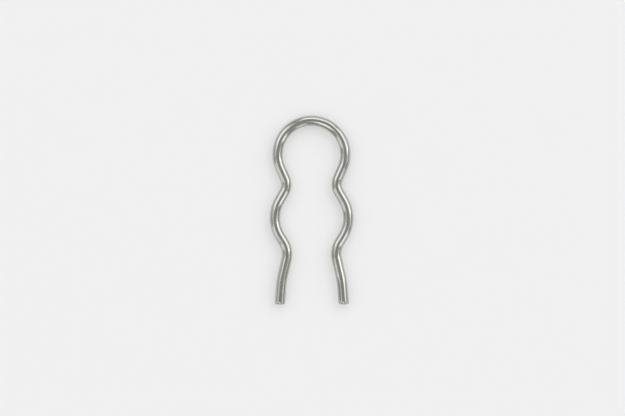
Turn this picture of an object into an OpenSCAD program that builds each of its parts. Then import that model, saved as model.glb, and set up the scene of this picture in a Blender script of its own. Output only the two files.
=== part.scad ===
// U-clip: a retaining clip bent from one piece of round spring wire.
// It is made the way a wire former makes it: straight feeds and bends round pins, in turn from the
// top of the crown loop to the tip of each leg. Every bend runs tangent into its straights.
// The clip lies flat, on its own plane of bending, with the crown towards +Y and the tips towards -Y.

/* [Wire] */
// Diameter of the spring wire
wire_d = 0.95; // [0.6:0.05:1.1]

/* [Crown loop] */
// Inside diameter of the loop at the top of the clip
crown_bore = 5.3; // [5:0.05:6]
// Turn of each half of the loop, counted from its top
crown_turn = 114; // [108:1:118]
// Straight from the loop to the waist
crown_run = 1; // [0.7:0.05:1.2]

/* [Waist] */
// Inside radius of the bend that pinches the legs together under the loop
waist_r = 0.95; // [0.8:0.05:1.5]
// Turn of the waist bend
waist_turn = 54; // [50:1:58]
// Straight from the waist to the bulge
waist_run = 0.85; // [0.5:0.05:1.2]

/* [Bulge] */
// Inside radius of the bend that bows each leg outwards
bulge_r = 2.8; // [2.4:0.05:3.2]
// Turn of the bulge bend
bulge_turn = 62; // [58:1:66]
// Straight from the bulge to the neck
bulge_run = 0.55; // [0.3:0.05:0.8]

/* [Neck] */
// Inside radius of the bend where the legs come together again
neck_r = 1.65; // [1.2:0.05:2.2]
// Turn of the neck bend
neck_turn = 45; // [41:1:49]
// Straight from the neck to the leg end's bend
neck_run = 1.5; // [0.8:0.05:2.5]

/* [Leg ends] */
// Inside radius of the gentle bend that brings a leg end back nearly parallel to the other
lead_r = 7.5; // [5:0.05:12]
// Turn of that bend
lead_turn = 9; // [6:0.5:12]
// Straight length from that bend to the cut
tip_run = 1.45; // [1.2:0.05:3]

/* [Sheared cut] */
// Radius of the edge that the shear blade rolls over where it enters the wire
roll_r = 0.26; // [0.2:0.01:0.4]
// Way in of the blade, in degrees up from the plane of the clip
roll_rise = 45; // [0:5:60]

/* [Hidden] */
$fn = 96;

wire_r = wire_d / 2;
crown_r = crown_bore / 2 + wire_r;

// Wire draws down a little in diameter where it is bent
DRAW_DOWN = 0.006;
bent_d = wire_d - DRAW_DOWN;

// How much further than its turn a bend is bent before it is cut back, in degrees
OVERBEND = 3;

// How far the rolled edge's rounding stands outside the wire and its cut where it runs out
PROUD = 0.02;

// Each row: radius to the middle of the wire, turn, straight that follows
// A turn is plus to the right, for someone who walks from the top of the crown to the right-hand tip
BENDS = [
    [crown_r, crown_turn, crown_run],
    [waist_r + wire_r, -waist_turn, waist_run],
    [bulge_r + wire_r, bulge_turn, bulge_run],
    [neck_r + wire_r, -neck_turn, neck_run],
    [lead_r + wire_r, lead_turn, tip_run]
];
LAST = len(BENDS) - 1;

// Sum of the turns before bend i
function turned(i) = i == 0 ? 0 : turned(i - 1) + BENDS[i - 1][1];

// Drop towards -Y over bend i and the straight after it
function drop(i) =
    sign(BENDS[i][1]) * BENDS[i][0] * (cos(turned(i)) - cos(turned(i + 1)))
    + BENDS[i][2] * sin(turned(i + 1));

// Drop from the top of the crown to the end of straight i, along the middle of the wire
function dropped(i) = drop(i) + (i == 0 ? 0 : dropped(i - 1));

// The leg end leans outwards by this much
lean = 90 - turned(LAST + 1);
clip_length = bent_d / 2 + dropped(LAST);

// Straight wire along +X, then what follows at its far end
module feed(run) {
    rotate([0, 90, 0])
        cylinder(h = run, d = wire_d);
    translate([run, 0, 0])
        children();
}

// Goes round a bend: the children stand where the wire leaves it, turned to its new direction
module past_bend(r, turn) {
    side = sign(turn);
    translate([0, -side * r, 0])
        rotate(-turn)
            translate([0, side * r, 0])
                children();
}

// Block that cuts a bend back square where the wire leaves it
module trimmer(r, turn) {
    past_bend(r, turn)
        translate([0, -wire_d, -wire_d])
            cube(2 * wire_d);
}

// Arc of wire that comes in along +X and turns by this angle
// It is bent a little too far and cut back, so that it meets the next straight in one plane
module bend(r, turn) {
    side = sign(turn);
    difference() {
        translate([0, -side * r, 0])
            rotate_extrude(start = 90 * side, angle = -turn - side * OVERBEND)
                translate([r, 0])
                    circle(d = bent_d);
        trimmer(r, turn);
    }
}

// The loop, one arc that runs the same way down both sides from its top at the origin
module crown() {
    difference() {
        translate([0, -crown_r, 0])
            rotate_extrude(start = 90 - crown_turn - OVERBEND, angle = 2 * (crown_turn + OVERBEND))
                translate([crown_r, 0])
                    circle(d = bent_d);
        trimmer(crown_r, crown_turn);
        mirror([1, 0, 0])
            trimmer(crown_r, crown_turn);
    }
}

// Cove that rounds over the +Y edge of a wire cut square at the origin
// It stands a little proud of the wire, so that it cuts into the surfaces and doesn't just touch them
module rolled_edge() {
    translate([PROUD - roll_r, wire_r + PROUD - roll_r, 0])
        difference() {
            translate([0, 0, -wire_d])
                cube([wire_d, wire_d, 2 * wire_d]);
            cylinder(h = 4 * wire_d, r = roll_r, center = true);
        }
}

// Last straight of a leg. Both legs are sheared in one line across the clip, so the cut is out of
// square with the wire by its lean.
// blade is +1 when the blade comes from the left of the wire and -1 when it comes from the right
module sheared_end(run, blade) {
    difference() {
        rotate([0, 90, 0])
            cylinder(h = run + wire_r, d = wire_d);
        translate([run, 0, 0])
            rotate(-lean) {
                translate([0, -wire_d, -wire_d])
                    cube(2 * wire_d);
                rotate([90 - blade * (90 - roll_rise), 0, 0])
                    rolled_edge();
            }
    }
}

// One side of the clip, from the end of bend i to the tip
module leg(i, blade) {
    past_bend(BENDS[i][0], BENDS[i][1])
        if (i < LAST)
            feed(BENDS[i][2]) {
                bend(BENDS[i + 1][0], BENDS[i + 1][1]);
                leg(i + 1, blade);
            }
        else
            sheared_end(BENDS[i][2], blade);
}

// The blade comes across the clip from one side, so it enters one leg from outside and one from inside
module u_clip() {
    color([0.5, 0.5, 0.47])
        translate([0, clip_length / 2 - bent_d / 2, wire_r]) {
            crown();
            leg(0, -1);
            mirror([1, 0, 0])
                leg(0, 1);
        }
}

u_clip();
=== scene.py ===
"""Looks of a spring-wire U-clip: one length of bright drawn wire, bent flat and sheared at both ends.

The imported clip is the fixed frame. ClipWire sweeps a finer wire round the same bends and stands for the
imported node, and ShearedEnd cuts its two ends as a shear does. DrawnWire and ShearedFace dress it. Studio
adds what is round it: a pale floor, softboxes and a camera that looks straight down.
"""

import logging
import math
from dataclasses import dataclass, field
from enum import Enum

import bmesh
import bpy
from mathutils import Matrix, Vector, noise

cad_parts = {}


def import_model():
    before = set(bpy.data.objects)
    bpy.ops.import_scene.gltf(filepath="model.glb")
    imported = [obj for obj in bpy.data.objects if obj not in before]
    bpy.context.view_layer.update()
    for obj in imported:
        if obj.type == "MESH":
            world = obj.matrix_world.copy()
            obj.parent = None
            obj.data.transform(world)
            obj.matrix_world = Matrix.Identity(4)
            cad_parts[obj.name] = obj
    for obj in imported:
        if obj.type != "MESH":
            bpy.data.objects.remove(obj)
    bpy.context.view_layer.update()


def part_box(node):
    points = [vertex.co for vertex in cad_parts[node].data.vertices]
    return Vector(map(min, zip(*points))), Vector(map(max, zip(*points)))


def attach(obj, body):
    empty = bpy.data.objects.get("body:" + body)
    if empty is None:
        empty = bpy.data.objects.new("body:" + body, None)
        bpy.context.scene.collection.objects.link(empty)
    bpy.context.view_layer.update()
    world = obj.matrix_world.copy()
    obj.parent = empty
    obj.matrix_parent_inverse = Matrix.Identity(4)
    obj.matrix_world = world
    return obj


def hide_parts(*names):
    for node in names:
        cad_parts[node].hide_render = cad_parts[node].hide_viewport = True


MM = 0.001
NODE = "u_clip"
# Of the clip's two materials, the swept wire's comes first and that of its cuts second
CUT_MATERIAL = 1
# What a noise is on average
MIDDLE = 0.5

log = logging.getLogger("u_clip")


class Side(Enum):
    """The two legs, by the sign of their X."""

    LEFT = -1
    RIGHT = 1


# ------------------------------------------------------------------------------------------- node graphs


class Value:
    """A node's socket, with Python's operators for its maths."""

    def __init__(self, graph: "Graph", socket: bpy.types.NodeSocket) -> None:
        """Keeps the socket and the graph that it is in."""
        self.graph = graph
        self.socket = socket

    def _math(self, operation: str, *terms: "Value | float", clamp: bool = False) -> "Value":
        """Adds a Math node.

        Args:
            operation: the Math node's operation.
            terms: its inputs, in order.
            clamp: whether the result is kept from 0 to 1.

        Returns:
            The node's result.
        """
        settings = {"operation": operation, "use_clamp": clamp}
        return self.graph.add("ShaderNodeMath", settings, dict(enumerate(terms))).out(0)

    def __add__(self, other: "Value | float") -> "Value":
        """self + other."""
        return self._math("ADD", self, other)

    def __radd__(self, other: float) -> "Value":
        """other + self."""
        return self._math("ADD", other, self)

    def __sub__(self, other: "Value | float") -> "Value":
        """self - other."""
        return self._math("SUBTRACT", self, other)

    def __rsub__(self, other: float) -> "Value":
        """other - self."""
        return self._math("SUBTRACT", other, self)

    def __mul__(self, other: "Value | float") -> "Value":
        """self * other."""
        return self._math("MULTIPLY", self, other)

    def __rmul__(self, other: float) -> "Value":
        """other * self."""
        return self._math("MULTIPLY", other, self)

    def __truediv__(self, other: "Value | float") -> "Value":
        """self / other."""
        return self._math("DIVIDE", self, other)

    def __rtruediv__(self, other: float) -> "Value":
        """other / self."""
        return self._math("DIVIDE", other, self)

    def clamped(self) -> "Value":
        """self, kept from 0 to 1."""
        return self._math("ADD", self, 0.0, clamp=True)


class Part:
    """A node that has been added to a graph."""

    def __init__(self, graph: "Graph", node: bpy.types.Node) -> None:
        """Keeps the node and its graph."""
        self.graph = graph
        self.node = node

    def out(self, key: int | str = 0) -> Value:
        """The output with this name or number."""
        return Value(self.graph, self.node.outputs[key])


class Graph:
    """A node tree that is filled from Python."""

    def __init__(self, tree: bpy.types.NodeTree) -> None:
        """Empties the tree."""
        self.tree = tree
        tree.nodes.clear()

    def add(
        self, kind: str, settings: dict[str, object] | None = None, sockets: dict | None = None
    ) -> Part:
        """Adds one node.

        Args:
            kind: the node's type.
            settings: its properties, which are set first.
            sockets: a value or a link for each of its inputs, by name or number.

        Returns:
            The node, ready to be read from.
        """
        node = self.tree.nodes.new(kind)
        for name, value in (settings or {}).items():
            setattr(node, name, value)
        for key, value in (sockets or {}).items():
            self.feed(node.inputs[key], value)
        return Part(self, node)

    def feed(self, socket: bpy.types.NodeSocket, value: object) -> None:
        """Fills one input.

        Args:
            socket: the input.
            value: a Value, which is linked to it, or a constant, which it is set to.
        """
        if isinstance(value, Value):
            self.tree.links.new(value.socket, socket)
        else:
            socket.default_value = value

    def vector(self, operation: str, *terms: "Value | tuple") -> Part:
        """Adds a Vector Math node with these inputs."""
        return self.add("ShaderNodeVectorMath", {"operation": operation}, dict(enumerate(terms)))


# ------------------------------------------------------------------------------------- the wire's middle


@dataclass(frozen=True)
class Bend:
    """One bend of the wire and the straight that follows it.

    inside_r is the bend's inside radius and run the straight, in metres. turn is in degrees, and is plus
    to the right for someone who walks from the top of the crown to the right-hand tip.
    """

    inside_r: float
    turn: float
    run: float


@dataclass(frozen=True)
class Station:
    """A point on the middle of the wire.

    along is the length of wire from the top of the crown, plus towards the right-hand tip. curl is 1 where
    the wire is bent to the right, -1 to the left and 0 where it is straight, on the same walk.
    """

    x: float
    y: float
    along: float
    curl: float


@dataclass(frozen=True)
class ClipLine:
    """The middle line of the wire, made of arcs and straights that run tangent into each other.

    Lengths are in metres. Stations lie about step apart, and cut_step apart over the last cut_zone of the
    wire. fade is how far the curl takes to change at the ends of a bend.
    """

    wire_r: float = 0.475 * MM
    bends: tuple[Bend, ...] = (
        Bend(2.65 * MM, 114, 1.0 * MM),
        Bend(0.95 * MM, -54, 0.85 * MM),
        Bend(2.8 * MM, 62, 0.55 * MM),
        Bend(1.65 * MM, -45, 1.5 * MM),
        Bend(7.5 * MM, 9, 1.45 * MM),
    )
    step: float = 0.06 * MM
    cut_step: float = 0.02 * MM
    cut_zone: float = 0.5 * MM
    fade: float = 0.3 * MM

    def right_half(self) -> list[Station]:
        """Walks from the top of the crown, at the origin, to the right-hand tip.

        Returns:
            Stations about one step apart, with one at each end of every bend.
        """
        x, y, heading, along = 0.0, 0.0, 0.0, 0.0
        stations = [Station(x, y, along, 1.0)]
        for bend in self.bends:
            radius = bend.inside_r + self.wire_r
            turn = math.radians(bend.turn)
            side = math.copysign(1.0, turn)
            centre_x = x + side * radius * math.sin(heading)
            centre_y = y - side * radius * math.cos(heading)
            arc = radius * abs(turn)
            count = math.ceil(arc / self.step)
            for i in range(1, count + 1):
                at = heading - turn * i / count
                x = centre_x - side * radius * math.sin(at)
                y = centre_y + side * radius * math.cos(at)
                stations.append(Station(x, y, along + arc * i / count, side))
            heading -= turn
            along += arc
            start_x, start_y = x, y
            for run in self._marks(bend):
                x = start_x + run * math.cos(heading)
                y = start_y + run * math.sin(heading)
                stations.append(Station(x, y, along + run, 0.0))
            along += bend.run
        return stations

    def _marks(self, bend: Bend) -> list[float]:
        """Distances of the stations on the straight after a bend.

        Args:
            bend: the bend. The straight after the last one gets closer stations where it is cut.

        Returns:
            Distances from the end of the bend, the last of which is the straight's whole length.
        """
        plain = bend.run - self.cut_zone if bend is self.bends[-1] else bend.run
        count = math.ceil(plain / self.step)
        marks = [plain * i / count for i in range(1, count + 1)]
        if bend is self.bends[-1]:
            count = math.ceil(self.cut_zone / self.cut_step)
            marks += [plain + self.cut_zone * i / count for i in range(1, count + 1)]
        return marks

    def half_length(self) -> float:
        """Length of wire from the top of the crown to a tip."""
        arcs = sum((bend.inside_r + self.wire_r) * math.radians(abs(bend.turn)) for bend in self.bends)
        return arcs + sum(bend.run for bend in self.bends)

    def whole(self) -> list[Station]:
        """Walks the whole wire.

        Returns:
            The stations from the left-hand tip, over the crown, to the right-hand tip.
        """
        right = self.right_half()
        left = [Station(-s.x, s.y, -s.along, s.curl) for s in reversed(right[1:])]
        return left + right

    def eased(self, stations: list[Station]) -> list[float]:
        """Curl of each station, eased in and out at the ends of the bends over the fade length.

        Args:
            stations: the stations of the whole wire.

        Returns:
            One number from -1 to 1 for each station.
        """
        reach = max(1, round(self.fade / self.step))
        eased = []
        for i in range(len(stations)):
            near = stations[max(0, i - reach) : i + reach + 1]
            eased.append(sum(s.curl for s in near) / len(near))
        return eased


# --------------------------------------------------------------------------------------- the swept wire


@dataclass
class SweepTree:
    """Geometry Nodes that sweep a round wire along a line of points.

    They also store wire_rest on the surface: where each point was while the wire was still straight, as
    its offset to the left of the middle line, its offset upwards, and its length along the wire.
    """

    name: str = "sweep_wire"

    def build(self) -> bpy.types.GeometryNodeTree:
        """Builds the tree.

        Returns:
            A tree with inputs Line, Wire radius, Sides and Finish.
        """
        tree = bpy.data.node_groups.new(self.name, "GeometryNodeTree")
        face = tree.interface
        face.new_socket("Line", in_out="INPUT", socket_type="NodeSocketGeometry")
        face.new_socket("Wire radius", in_out="INPUT", socket_type="NodeSocketFloat")
        face.new_socket("Sides", in_out="INPUT", socket_type="NodeSocketInt")
        face.new_socket("Finish", in_out="INPUT", socket_type="NodeSocketMaterial")
        face.new_socket("Wire", in_out="OUTPUT", socket_type="NodeSocketGeometry")
        graph = Graph(tree)
        given = graph.add("NodeGroupInput")
        curve = graph.add("GeometryNodeMeshToCurve", {}, {"Mesh": given.out("Line")})
        level = graph.add("GeometryNodeSetCurveNormal", {"mode": "Z_UP"}, {"Curve": curve.out("Curve")})
        kept = self._capture(graph, level.out("Curve"))
        section = graph.add(
            "GeometryNodeCurvePrimitiveCircle",
            {"mode": "RADIUS"},
            {"Resolution": given.out("Sides"), "Radius": given.out("Wire radius")},
        )
        girth = graph.add("GeometryNodeInputNamedAttribute", {"data_type": "FLOAT"}, {"Name": "girth"})
        swept = graph.add(
            "GeometryNodeCurveToMesh",
            {},
            {
                "Curve": kept.out("Geometry"),
                "Profile Curve": section.out("Curve"),
                "Scale": girth.out("Attribute"),
                "Fill Caps": False,
            },
        )
        marked = self._store_rest(graph, swept.out("Mesh"), kept)
        smooth = graph.add("GeometryNodeSetShadeSmooth", {}, {"Geometry": marked.out("Geometry")})
        real = graph.add("GeometryNodeRealizeInstances", {}, {"Geometry": smooth.out("Geometry")})
        dressed = graph.add(
            "GeometryNodeSetMaterial",
            {},
            {"Geometry": real.out("Geometry"), "Material": given.out("Finish")},
        )
        graph.add("NodeGroupOutput", {}, {"Wire": dressed.out("Geometry")})
        return tree

    def _capture(self, graph: Graph, curve: Value) -> Part:
        """Keeps the middle line's own place and direction for the surface that is swept from it.

        Args:
            graph: the tree's graph.
            curve: the middle line.

        Returns:
            The Capture Attribute node, with outputs Geometry, Middle and Heading.
        """
        kept = graph.add("GeometryNodeCaptureAttribute", {"domain": "POINT"})
        kept.node.capture_items.new("VECTOR", "Middle")
        kept.node.capture_items.new("VECTOR", "Heading")
        place = graph.add("GeometryNodeInputPosition")
        tangent = graph.add("GeometryNodeInputTangent")
        graph.feed(kept.node.inputs["Geometry"], curve)
        graph.feed(kept.node.inputs["Middle"], place.out("Position"))
        graph.feed(kept.node.inputs["Heading"], tangent.out("Tangent"))
        return kept

    def _store_rest(self, graph: Graph, mesh: Value, kept: Part) -> Part:
        """Stores wire_rest on the surface.

        Args:
            graph: the tree's graph.
            mesh: the swept surface.
            kept: the Capture Attribute node.

        Returns:
            The Store Named Attribute node.
        """
        place = graph.add("GeometryNodeInputPosition")
        offset = graph.vector("SUBTRACT", place.out("Position"), kept.out("Middle"))
        left = graph.vector("CROSS_PRODUCT", (0.0, 0.0, 1.0), kept.out("Heading"))
        across = graph.vector("DOT_PRODUCT", offset.out("Vector"), left.out("Vector"))
        parts = graph.add("ShaderNodeSeparateXYZ", {}, {"Vector": offset.out("Vector")})
        along = graph.add("GeometryNodeInputNamedAttribute", {"data_type": "FLOAT"}, {"Name": "along"})
        rest = graph.add(
            "ShaderNodeCombineXYZ",
            {},
            {"X": across.out("Value"), "Y": parts.out("Z"), "Z": along.out("Attribute")},
        )
        return graph.add(
            "GeometryNodeStoreNamedAttribute",
            {"data_type": "FLOAT_VECTOR", "domain": "POINT"},
            {"Geometry": mesh, "Name": "wire_rest", "Value": rest.out("Vector")},
        )


# ------------------------------------------------------------------------------------ the sheared ends


def smooth_step(start: float, end: float, value: float) -> float:
    """0 before start, 1 past end, and a smooth rise between them."""
    t = min(1.0, max(0.0, (value - start) / (end - start)))
    return t * t * (3 - 2 * t)


def run_out(distance: float, reach: float) -> float:
    """1 at no distance, and 0 from reach on, along a parabola that ends level."""
    return max(0.0, 1 - distance / reach) ** 2


@dataclass(frozen=True)
class Shear:
    """Sizes of the cut that a shear leaves, in metres and degrees.

    The blade comes across the clip from its left-hand side, rise degrees above its plane. It draws the
    wire's edge down before it bites, up to roll_reach degrees to both sides of where it enters. It
    burnishes the cut as far as burnish past the wire's middle, and tears the rest along a ragged border,
    which fades over tear. The torn part ends in a lip on the far side: full as far in as lip_crest, gone
    at lip_width. Tumbling has taken off the edge all the way round.
    """

    rise: float = 45.0
    roll_reach: float = 78.0
    roll_length: float = 0.3 * MM
    roll_depth: float = 0.14 * MM
    edge_length: float = 0.16 * MM
    edge_depth: float = 0.03 * MM
    burnish: float = 0.03 * MM
    tear: float = 0.07 * MM
    tear_depth: float = 0.03 * MM
    ragged_depth: float = 0.09 * MM
    ragged_size: float = 0.13 * MM
    lip_crest: float = 0.02 * MM
    lip_width: float = 0.06 * MM
    grain_size: float = 0.045 * MM
    grain_depth: float = 0.016 * MM


@dataclass(frozen=True)
class ShearedEnd:
    """The end of one leg, as the shear leaves it.

    tip is where the middle of the wire meets the plane of the cut, and out is the wire's direction there.
    Places on the cut are given as x, their distance from the tip across the clip, and z, that upwards.
    rings is how many rings of faces fill the cut.
    """

    shear: Shear
    line: ClipLine
    side: Side
    tip: Vector
    out: Vector
    rings: int

    def cut(self, work: bmesh.types.BMesh) -> None:
        """Cuts the leg.

        Args:
            work: the swept wire, open where the leg ends.
        """
        rest = work.verts.layers.float_vector["wire_rest"]
        length = self.line.half_length()
        start = length - self.line.cut_zone
        half_step = self.line.cut_step / 2
        rim = []
        for vert in work.verts:
            past = vert[rest].z * self.side.value - start
            if past < -half_step:
                continue
            share = past / self.line.cut_zone
            middle, offset = self._split(vert.co)
            root = middle - self.out * past
            at_cut = offset * (1 - self._drawn_in(offset, 0.0))
            to_cut = self._reach(root + at_cut)
            drawn = offset * (1 - self._drawn_in(offset, to_cut * (1 - share)))
            vert.co = root + drawn + self.out * (to_cut * share)
            vert[rest].z = self.side.value * (start + to_cut * share)
            if past > self.line.cut_zone - half_step:
                rim.append(vert)
        self._face(work, rim)

    def _split(self, place: Vector) -> tuple[Vector, Vector]:
        """Splits a place into its nearest point on the middle of the wire, and the offset from there."""
        middle = self.tip + self.out * (place - self.tip).dot(self.out)
        return middle, place - middle

    def _towards_blade(self, x: float, z: float) -> float:
        """How far a place lies towards the side that the blade came from."""
        rise = math.radians(self.shear.rise)
        return -x * math.cos(rise) + z * math.sin(rise)

    def _drawn_in(self, offset: Vector, to_cut: float) -> float:
        """How far the shear has drawn the wire's surface in.

        Args:
            offset: the offset of a point from the middle of the wire.
            to_cut: its distance from the cut, along the wire.

        Returns:
            The share of its offset that the point moves inwards.
        """
        shear = self.shear
        facing = self._towards_blade(offset.x, offset.z) / math.hypot(offset.x, offset.z)
        turned = math.degrees(math.acos(max(-1.0, min(1.0, facing))))
        rolled = run_out(to_cut, shear.roll_length) * smooth_step(shear.roll_reach, 0.0, turned)
        tumbled = run_out(to_cut, shear.edge_length)
        return (shear.roll_depth * rolled + shear.edge_depth * tumbled) / offset.length

    def _noise(self, x: float, z: float, size: float) -> float:
        """Noise of this size over the cut, from -1 to 1, with a pattern of its own on each leg."""
        return noise.noise(Vector((x, z, 0.0)) / size + Vector((0.0, 0.0, self.side.value)))

    def _torn(self, x: float, z: float) -> float:
        """Share of tearing at a place on the cut.

        Args:
            x: the place, across the clip.
            z: the place, upwards.

        Returns:
            A share from 0 where the cut is burnished to 1 where it is torn.
        """
        shear = self.shear
        height = self._towards_blade(x, z)
        border = shear.burnish - shear.ragged_depth * self._noise(x, z, shear.ragged_size)
        torn = 1 - smooth_step(border - shear.tear, border, height)
        above_edge = height + self.line.wire_r
        return torn * smooth_step(shear.lip_crest, shear.lip_width, above_edge)

    def _depth(self, x: float, z: float) -> float:
        """How far the cut lies behind its own plane at a place, in metres."""
        rough = self.shear.grain_depth * self._noise(x, z, self.shear.grain_size)
        return self._torn(x, z) * max(0.0, self.shear.tear_depth + rough)

    def _reach(self, root: Vector) -> float:
        """Measures a straight line that runs along the wire up to the cut.

        Args:
            root: where the line starts.

        Returns:
            Its length in metres.
        """
        flat = (self.tip.y - root.y) / self.out.y
        at = root + self.out * flat
        return flat - self._depth(at.x - self.tip.x, at.z - self.tip.z) / abs(self.out.y)

    def _face(self, work: bmesh.types.BMesh, rim: list[bmesh.types.BMVert]) -> None:
        """Adds the face of the cut inside the last ring of the wire.

        Args:
            work: the mesh that is being cut.
            rim: the vertices of the last ring.
        """
        rest = work.verts.layers.float_vector["wire_rest"]
        torn = work.verts.layers.float["torn"]
        rim.sort(key=lambda v: math.atan2(v.co.z - self.tip.z, v.co.x - self.tip.x))
        spokes = [(v.co.x - self.tip.x, v.co.z - self.tip.z) for v in rim]
        outer = list(rim)
        along = rim[0][rest].z
        for ring in range(1, self.rings + 1):
            share = 1 - ring / self.rings
            inner = []
            for x, z in spokes if share > 0 else [(0.0, 0.0)]:
                place = self.tip + Vector((x * share, self._depth(x * share, z * share), z * share))
                vert = work.verts.new(place)
                vert[rest] = Vector((x * share, z * share, along))
                vert[torn] = self._torn(x * share, z * share)
                inner.append(vert)
            for i in range(len(outer)):
                j = (i + 1) % len(outer)
                corners = [outer[i], outer[j], inner[j % len(inner)], inner[i % len(inner)]]
                face = work.faces.new(list(dict.fromkeys(corners)))
                face.material_index = CUT_MATERIAL
                face.smooth = True
            outer = inner


# ------------------------------------------------------------------------------------- the whole clip


@dataclass
class ClipWire:
    """The whole clip: one swept wire, sheared at both ends.

    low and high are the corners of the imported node. sides is the number of faces round the wire, and
    cut_rings that of the rings of faces that fill a cut. thinning is the share of its width that the wire
    loses in a bend. Edges sharper than crease, in degrees, stay sharp.
    """

    low: Vector
    high: Vector
    line: ClipLine = field(default_factory=ClipLine)
    shear: Shear = field(default_factory=Shear)
    sides: int = 80
    thinning: float = 0.0105
    cut_rings: int = 22
    crease: float = 40.0

    def build(self, drawn: bpy.types.Material, sheared: bpy.types.Material) -> bpy.types.Object:
        """Makes the clip.

        Args:
            drawn: the finish of the wire's surface.
            sheared: the finish of its two cuts.

        Returns:
            The clip as one closed mesh, in place.
        """
        mesh = self._sweep(drawn)
        mesh.materials.append(sheared)
        work = bmesh.new()
        work.from_mesh(mesh)
        work.verts.layers.float.new("torn")
        for side in Side:
            self._end(side).cut(work)
        bmesh.ops.recalc_face_normals(work, faces=work.faces)
        if any(not edge.is_manifold for edge in work.edges):
            raise RuntimeError("the wire isn't closed")
        work.to_mesh(mesh)
        work.free()
        mesh.set_sharp_from_angle(angle=math.radians(self.crease))
        for name in ("along", "girth"):
            mesh.attributes.remove(mesh.attributes[name])
        piece = bpy.data.objects.new("spring_wire_clip", mesh)
        bpy.context.scene.collection.objects.link(piece)
        return piece

    def _places(self, stations: list[Station]) -> list[Vector]:
        """Where the stations lie in the frame.

        Args:
            stations: the stations of the whole wire, from the top of the crown.

        Returns:
            One point for each station.
        """
        bent_r = self.line.wire_r * (1 - self.thinning)
        top = Vector((0.0, self.high.y - bent_r, self.low.z + self.line.wire_r))
        return [top + Vector((s.x, s.y, 0.0)) for s in stations]

    def _sweep(self, drawn: bpy.types.Material) -> bpy.types.Mesh:
        """Sweeps the wire with Geometry Nodes.

        Args:
            drawn: the finish that the swept surface gets.

        Returns:
            A plain mesh, open at both ends.
        """
        stations = self.line.whole()
        curls = self.line.eased(stations)
        middle = bpy.data.meshes.new("wire_line")
        edges = [(i, i + 1) for i in range(len(stations) - 1)]
        middle.from_pydata(self._places(stations), edges, [])
        store_floats(middle, "along", [s.along for s in stations])
        store_floats(middle, "girth", [1 - self.thinning * abs(curl) for curl in curls])
        store_floats(middle, "curl", curls)
        source = bpy.data.objects.new("wire_line", middle)
        bpy.context.scene.collection.objects.link(source)
        tree = SweepTree().build()
        sweep = source.modifiers.new("sweep", "NODES")
        sweep.node_group = tree
        inputs = {"Wire radius": self.line.wire_r, "Sides": self.sides, "Finish": drawn}
        for item in tree.interface.items_tree:
            if item.in_out == "INPUT" and item.name in inputs:
                sweep[item.identifier] = inputs[item.name]
        graph = bpy.context.evaluated_depsgraph_get()
        mesh = bpy.data.meshes.new_from_object(source.evaluated_get(graph), depsgraph=graph)
        source.modifiers.remove(sweep)
        bpy.data.objects.remove(source)
        bpy.data.meshes.remove(middle)
        mesh.name = "spring_wire_clip"
        return mesh

    def _end(self, side: Side) -> ShearedEnd:
        """Finds the end of one leg.

        Args:
            side: the leg.

        Returns:
            Its end, ready to be cut.
        """
        stations = self.line.whole()
        if side is Side.LEFT:
            stations.reverse()
        before, tip = self._places(stations[-2:])
        return ShearedEnd(self.shear, self.line, side, tip, (tip - before).normalized(), self.cut_rings)


def store_floats(mesh: bpy.types.Mesh, name: str, values: list[float]) -> None:
    """Stores one number for each vertex.

    Args:
        mesh: the mesh that gets the attribute.
        name: the attribute's name.
        values: one number for each vertex.
    """
    mesh.attributes.new(name, "FLOAT", "POINT").data.foreach_set("value", values)


# --------------------------------------------------------------------------------------------- finishes


@dataclass(frozen=True)
class Grain:
    """A fine noise on a surface, drawn out one way.

    size is its width and length its length, in metres. detail is how many times finer noise is laid over
    it, and each time with falloff of the strength.
    """

    size: float
    length: float
    detail: float
    falloff: float = 0.6

    def on(self, graph: Graph, place: Value) -> Value:
        """Lays the noise on a surface.

        Args:
            graph: the material's graph.
            place: the place on the surface in metres. The grain's length runs along its third number.

        Returns:
            Noise from 0 to 1, mostly near 0.5.
        """
        scale = (1 / self.size, 1 / self.size, 1 / self.length)
        sockets = {
            "Vector": graph.vector("MULTIPLY", place, scale).out("Vector"),
            "Scale": 1.0,
            "Detail": self.detail,
            "Roughness": self.falloff,
        }
        return graph.add("ShaderNodeTexNoise", {"noise_dimensions": "3D"}, sockets).out("Fac")


def above(value: Value, level: float, width: float) -> Value:
    """0 up to this level, and 1 once it is passed by this width."""
    return ((value - level) / width).clamped()


def end_in_metal(
    graph: Graph, steel: tuple[float, float, float], tone: Value, roughness: Value, height: Value
) -> None:
    """Ends a material's graph as bare metal.

    Args:
        graph: the material's graph.
        steel: the metal's colour.
        tone: what the colour is multiplied by.
        roughness: the roughness, which is kept from 0 to 1.
        height: the relief in metres.
    """
    colour = graph.add("ShaderNodeVectorMath", {"operation": "SCALE"}, {"Vector": steel, "Scale": tone})
    relief = graph.add("ShaderNodeBump", {}, {"Height": height, "Distance": 1.0, "Strength": 1.0})
    shader = graph.add(
        "ShaderNodeBsdfPrincipled",
        {},
        {
            "Base Color": colour.out("Vector"),
            "Metallic": 1.0,
            "Roughness": roughness.clamped(),
            "Normal": relief.out("Normal"),
        },
    )
    graph.add("ShaderNodeOutputMaterial", {}, {"Surface": shader.out("BSDF")})


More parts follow.
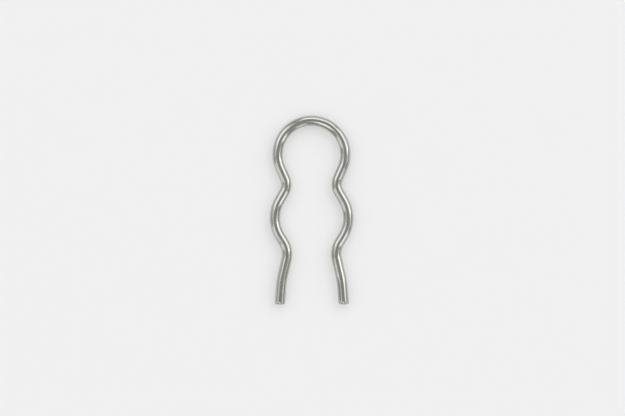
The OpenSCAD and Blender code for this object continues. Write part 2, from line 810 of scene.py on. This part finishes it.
@dataclass(frozen=True)
class DrawnWire:
    """Bright drawn spring steel.

    The die has left fine lines along the wire and a few deeper scores. Pins have rubbed the inside of each
    bend bright, tumbling has left small dull scuffs, and a thin uneven film lies over all. A score or a
    scuff starts where its noise passes its level, and is full once the noise has passed it by its edge.
    rub_reach is where the rubbed band starts, as a share of the wire's radius. Depths are in metres. shade
    and rub_tone change the colour, and what ends in dulling or polish changes the roughness.
    """

    steel: tuple[float, float, float] = (0.488, 0.486, 0.454)
    roughness: float = 0.17
    shade: float = 0.08
    lines: Grain = Grain(0.03 * MM, 4.0 * MM, 3.0)
    line_depth: float = 0.0012 * MM
    line_dulling: float = 0.14
    scores: Grain = Grain(0.08 * MM, 14.0 * MM, 1.0)
    score_level: float = 0.62
    score_edge: float = 0.06
    score_depth: float = 0.0015 * MM
    score_dulling: float = 0.05
    scuffs: Grain = Grain(0.045 * MM, 0.15 * MM, 2.0)
    scuff_level: float = 0.61
    scuff_edge: float = 0.1
    scuff_dulling: float = 0.1
    film: Grain = Grain(1.4 * MM, 1.4 * MM, 2.0)
    film_dulling: float = 0.07
    rub_reach: float = 0.82
    rub_tone: float = 0.07
    rub_polish: float = 0.025

    def build(self, wire_r: float) -> bpy.types.Material:
        """Makes the material.

        Args:
            wire_r: the wire's radius.

        Returns:
            A node material that reads the wire's own wire_rest and curl attributes.
        """
        material = bpy.data.materials.new("drawn_spring_wire")
        material.use_nodes = True
        graph = Graph(material.node_tree)
        rest = graph.add("ShaderNodeAttribute", {"attribute_name": "wire_rest"}).out("Vector")
        lines = self.lines.on(graph, rest)
        film = self.film.on(graph, rest)
        scores = above(self.scores.on(graph, rest), self.score_level, self.score_edge)
        scuffs = above(self.scuffs.on(graph, rest), self.scuff_level, self.scuff_edge)
        rubbed = self._rubbed(graph, rest, wire_r)
        uneven_lines = lines - MIDDLE
        uneven_film = film - MIDDLE
        tone = 1 + (uneven_film + uneven_lines - scores) * self.shade + rubbed * self.rub_tone
        rough = self.roughness + uneven_lines * self.line_dulling + uneven_film * self.film_dulling
        rough = rough + scores * self.score_dulling + scuffs * self.scuff_dulling
        rough = rough - rubbed * self.rub_polish
        height = lines * self.line_depth - scores * self.score_depth
        end_in_metal(graph, self.steel, tone, rough, height)
        return material

    def _rubbed(self, graph: Graph, rest: Value, wire_r: float) -> Value:
        """Where a bending pin has rubbed the wire: a narrow band along the inside of each bend.

        Args:
            graph: the material's graph.
            rest: the wire_rest attribute.
            wire_r: the wire's radius.

        Returns:
            A share from 0 to 1.
        """
        curl = graph.add("ShaderNodeAttribute", {"attribute_name": "curl"}).out("Fac")
        across = graph.add("ShaderNodeSeparateXYZ", {}, {"Vector": rest}).out("X")
        return above(across * curl * (-1 / wire_r), self.rub_reach, 1 - self.rub_reach)


@dataclass(frozen=True)
class ShearedFace:
    """Bare steel of a sheared end: streaked where the blade burnished it, dull and grainy where it tore.

    burnished and torn are the roughness of the two parts, and spread is how much streaks and grain change
    it. What ends in shade changes the colour. Depths are in metres.
    """

    steel: tuple[float, float, float] = (0.56, 0.557, 0.527)
    burnished: float = 0.2
    torn: float = 0.42
    torn_shade: float = 0.3
    streaks: Grain = Grain(0.02 * MM, 0.6 * MM, 2.0)
    streak_depth: float = 0.0025 * MM
    streak_shade: float = 0.25
    grain: Grain = Grain(0.035 * MM, 0.035 * MM, 4.0)
    grain_depth: float = 0.012 * MM
    grain_shade: float = 0.5
    spread: float = 0.3

    def build(self, rise: float) -> bpy.types.Material:
        """Makes the material.

        Args:
            rise: the blade's way in, in degrees above the clip's plane.

        Returns:
            A node material that reads Object coordinates and the face's own torn attribute.
        """
        material = bpy.data.materials.new("sheared_steel")
        material.use_nodes = True
        graph = Graph(material.node_tree)
        place = graph.add("ShaderNodeTexCoord").out("Object")
        torn = graph.add("ShaderNodeAttribute", {"attribute_name": "torn"}).out("Fac")
        streaks = self.streaks.on(graph, self._blade_way(graph, place, math.radians(rise)))
        grain = self.grain.on(graph, place)
        burnished = 1 - torn
        tone = 1 - torn * self.torn_shade
        tone = tone + (grain - MIDDLE) * torn * self.grain_shade
        tone = tone + (streaks - MIDDLE) * burnished * self.streak_shade
        rough = self.burnished + torn * (self.torn - self.burnished)
        rough = rough + (streaks * burnished + grain * torn - MIDDLE) * self.spread
        height = streaks * burnished * self.streak_depth + grain * torn * self.grain_depth
        end_in_metal(graph, self.steel, tone, rough, height)
        return material

    def _blade_way(self, graph: Graph, place: Value, rise: float) -> Value:
        """The place on the cut, turned so that its third number runs along the blade's way in.

        Args:
            graph: the material's graph.
            place: Object coordinates.
            rise: the blade's way in, in radians above the clip's plane.

        Returns:
            The turned place, in metres.
        """
        beside = graph.vector("DOT_PRODUCT", place, (math.sin(rise), 0.0, math.cos(rise)))
        inwards = graph.vector("DOT_PRODUCT", place, (-math.cos(rise), 0.0, math.sin(rise)))
        turned = {"X": beside.out("Value"), "Z": inwards.out("Value")}
        return graph.add("ShaderNodeCombineXYZ", {}, turned).out("Vector")


# ----------------------------------------------------------------------------------------------- studio


@dataclass(frozen=True)
class Softbox:
    """A square of soft light that faces the clip.

    azimuth is in degrees from +X towards +Y and zenith in degrees down from overhead. spread is the width
    and height that it fills as seen from the clip, in degrees. glow is its brightness, where 1 is white.
    """

    name: str
    azimuth: float
    zenith: float
    spread: tuple[float, float]
    glow: float


@dataclass
class Studio:
    """What is round the clip: the floor, the lights and the camera.

    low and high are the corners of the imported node. floor_evenness is the share of the floor that shows
    its own colour whatever the light, and ambient the brightness of the room, where 1 is white. The camera
    sees field_width of the floor. It is aimed aim_x and aim_y beside the clip's middle, and turned to the
    right by roll, in degrees. Lengths are in metres, apart from sensor_width, which is in millimetres.
    """

    low: Vector
    high: Vector
    floor_colour: tuple[float, float, float] = (0.89, 0.89, 0.89)
    floor_evenness: float = 0.4
    floor_width: float = 20.0
    light_distance: float = 4.0
    ambient: float = 0.4
    softboxes: tuple[Softbox, ...] = (
        Softbox("right", -1.0, 56.0, (21.0, 26.0), 0.68),
        Softbox("right_back", 26.0, 55.5, (35.0, 47.0), 1.52),
        Softbox("back", 78.0, 57.0, (48.0, 37.5), 1.35),
        Softbox("left_back", 145.0, 47.0, (30.5, 44.5), 0.92),
        Softbox("left_fill", 157.0, 55.0, (44.0, 42.5), 0.48),
        Softbox("left", -157.5, 60.0, (20.0, 60.0), 0.85),
        Softbox("front_left", -114.5, 37.0, (20.0, 39.0), 1.44),
        Softbox("front", -70.0, 72.0, (20.0, 42.5), 0.72),
        Softbox("front_right", -30.0, 52.5, (12.0, 47.5), 1.37),
    )
    field_width: float = 57.7 * MM
    aim_x: float = 0.085 * MM
    aim_y: float = 0.18 * MM
    roll: float = 0.12
    camera_height: float = 0.4
    sensor_width: float = 36.0

    def build(self) -> None:
        """Adds the floor, the world, the lights and the camera."""
        self._floor()
        self._world()
        for softbox in self.softboxes:
            self._light(softbox)
        self._camera()
        bpy.context.scene.view_settings.view_transform = "Standard"

    def _floor(self) -> None:
        """Lays a plain pale floor under the clip."""
        half = self.floor_width / 2
        mesh = bpy.data.meshes.new("floor")
        corners = [(-half, -half), (half, -half), (half, half), (-half, half)]
        mesh.from_pydata([(x, y, self.low.z) for x, y in corners], [], [(0, 1, 2, 3)])
        floor = bpy.data.objects.new("floor", mesh)
        bpy.context.scene.collection.objects.link(floor)
        material = bpy.data.materials.new("pale_floor")
        material.use_nodes = True
        graph = Graph(material.node_tree)
        colour = (*self.floor_colour, 1.0)
        matt = graph.add(
            "ShaderNodeBsdfPrincipled",
            {},
            {"Base Color": colour, "Roughness": 1.0, "Specular IOR Level": 0.0},
        )
        even = graph.add("ShaderNodeEmission", {}, {"Color": colour, "Strength": 1.0})
        rays = graph.add("ShaderNodeLightPath")
        seen = rays.out("Is Camera Ray") + rays.out("Is Glossy Ray") + rays.out("Is Transmission Ray")
        share = seen.clamped() * self.floor_evenness
        shader = graph.add(
            "ShaderNodeMixShader", {}, {0: share, 1: matt.out("BSDF"), 2: even.out("Emission")}
        )
        graph.add("ShaderNodeOutputMaterial", {}, {"Surface": shader.out("Shader")})
        mesh.materials.append(material)

    def _world(self) -> None:
        """Gives the room an even, dim light."""
        world = bpy.data.worlds.new("room")
        world.use_nodes = True
        graph = Graph(world.node_tree)
        glow = (self.ambient, self.ambient, self.ambient, 1.0)
        room = graph.add("ShaderNodeBackground", {}, {"Color": glow, "Strength": 1.0})
        graph.add("ShaderNodeOutputWorld", {}, {"Surface": room.out("Background")})
        bpy.context.scene.world = world

    def _light(self, softbox: Softbox) -> None:
        """Hangs one softbox, turned to the clip.

        Args:
            softbox: its place, size and brightness.
        """
        azimuth, zenith = math.radians(softbox.azimuth), math.radians(softbox.zenith)
        level = math.sin(zenith)
        way = Vector((math.cos(azimuth) * level, math.sin(azimuth) * level, math.cos(zenith)))
        width, height = (
            2 * self.light_distance * math.tan(math.radians(angle) / 2) for angle in softbox.spread
        )
        data = bpy.data.lights.new(softbox.name, "AREA")
        data.shape = "RECTANGLE"
        data.size = width
        data.size_y = height
        # Watts at which a flat lamp of this size has that brightness
        data.energy = softbox.glow * math.pi * width * height
        light = bpy.data.objects.new(softbox.name, data)
        light.location = (self.low + self.high) / 2 + way * self.light_distance
        light.rotation_mode = "QUATERNION"
        light.rotation_quaternion = way.to_track_quat("Z", "Y")
        bpy.context.scene.collection.objects.link(light)

    def _camera(self) -> None:
        """Hangs the camera over the clip, looking straight down, with the crown towards the top."""
        middle = (self.low + self.high) / 2
        data = bpy.data.cameras.new("overhead")
        data.sensor_width = self.sensor_width
        data.lens = self.sensor_width * self.camera_height / self.field_width
        camera = bpy.data.objects.new("overhead", data)
        camera.location = (middle.x + self.aim_x, middle.y + self.aim_y, self.low.z + self.camera_height)
        camera.rotation_euler = (0.0, 0.0, -math.radians(self.roll))
        bpy.context.scene.collection.objects.link(camera)
        bpy.context.scene.camera = camera


def main() -> None:
    """Builds the clip and the studio round it."""
    logging.basicConfig(level=logging.INFO, format="%(name)s: %(message)s")
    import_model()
    low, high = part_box(NODE)
    wire = ClipWire(low, high)
    clip = wire.build(DrawnWire().build(wire.line.wire_r), ShearedFace().build(wire.shear.rise))
    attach(clip, "root")
    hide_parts(NODE)
    log.info("%s: %d faces", clip.name, len(clip.data.polygons))
    studio = Studio(low, high)
    studio.build()
    log.info("studio: floor, camera and %d softboxes", len(studio.softboxes))


if __name__ == "__main__":
    main()
